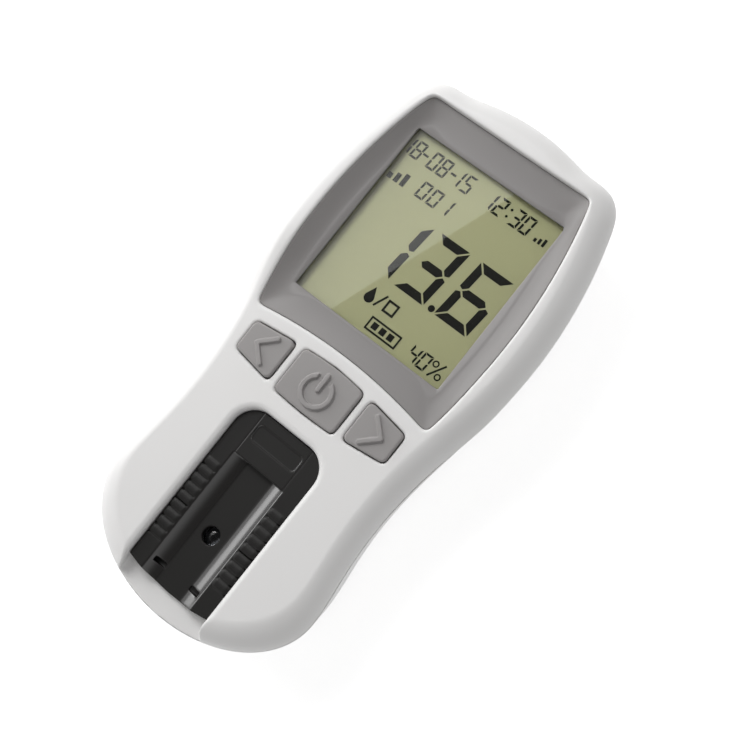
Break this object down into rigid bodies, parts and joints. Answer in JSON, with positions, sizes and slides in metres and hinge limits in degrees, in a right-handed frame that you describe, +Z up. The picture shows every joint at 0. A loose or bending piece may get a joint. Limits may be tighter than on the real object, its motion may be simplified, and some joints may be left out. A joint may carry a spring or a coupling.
{
  "type": "hemoglobin meter",
  "caption": "Hand-held hemoglobin meter with a segment display, three keys and an open bay for test strips.",
  "frame": {"origin": "centre of the footprint on the table under the back face", "axes": "+Y from the strip bay to the display end, +Z up through the display, +X to the right seen from above"},
  "size_m": [0.0628, 0.1253, 0.025],
  "materials": {
    "white_shell": "fine satin gloss",
    "grey_bezel": "satin",
    "grey_key": "matte silicone",
    "black_tray": "semi gloss",
    "clear_window": "clear polished",
    "lcd_glass": "clear polished",
    "lcd_film": "grey green film",
    "black_plastic": "moulded",
    "white_plastic": "moulded",
    "board_laminate": "solder mask",
    "chip_black": "moulded",
    "nickel": "nickel plated",
    "spring_steel": "drawn wire",
    "screw_steel": "zinc plated",
    "cell_can": "printed sleeve",
    "lens_clear": "clear polished",
    "silicon": "clear package"
  },
  "bodies": {
    "housing": {"amplifier_chip": "chip_black", "battery_left": "cell_can", "battery_plates": "nickel", "battery_right": "cell_can", "battery_springs": "spring_steel", "board_header": "black_plastic", "board_screws": "screw_steel", "buzzer": "black_plastic", "crystal": "nickel", "display_bezel": "grey_bezel", "display_window": "clear_window", "elastomer_connector": "black_plastic", "front_shell": "white_shell", "housing_screws": "screw_steel", "lcd_front_glass": "lcd_glass", "lcd_holder": "white_plastic", "lcd_polarizer": "lcd_film", "lcd_rear_glass": "lcd_glass", "lcd_reflector": "lcd_film", "leds": "lens_clear", "main_board": "board_laminate", "memory_chip": "chip_black", "microcontroller": "chip_black", "optic_window": "lens_clear", "optics_block": "black_plastic", "photodiode": "silicon", "rear_shell": "white_shell", "sensor_board": "board_laminate", "switch_housings": "black_plastic", "window_adhesive": "black_plastic"},
    "left_key": {"left_button": "grey_key", "left_plunger": "black_plastic"},
    "power_key": {"power_button": "grey_key", "power_plunger": "black_plastic"},
    "right_key": {"right_button": "grey_key", "right_plunger": "black_plastic"},
    "tray": {"strip_tray": "black_tray"},
    "door": {"battery_door": "white_shell"}
  },
  "joints": [
    {"name": "left_key_press", "type": "slide", "parent": "housing", "child": "left_key", "axis": [0, 0, -1], "range_m": [0, 0.0005], "stiffness_N_per_m": 1500},
    {"name": "power_key_press", "type": "slide", "parent": "housing", "child": "power_key", "axis": [0, 0, -1], "range_m": [0, 0.0005], "stiffness_N_per_m": 1500},
    {"name": "right_key_press", "type": "slide", "parent": "housing", "child": "right_key", "axis": [0, 0, -1], "range_m": [0, 0.0005], "stiffness_N_per_m": 1500},
    {"name": "tray_slide", "type": "slide", "parent": "housing", "child": "tray", "axis": [0, -1, 0], "range_m": [0, 0.045]},
    {"name": "door_slide", "type": "slide", "parent": "housing", "child": "door", "axis": [0, 1, 0], "range_m": [0, 0.052]}
  ]
}
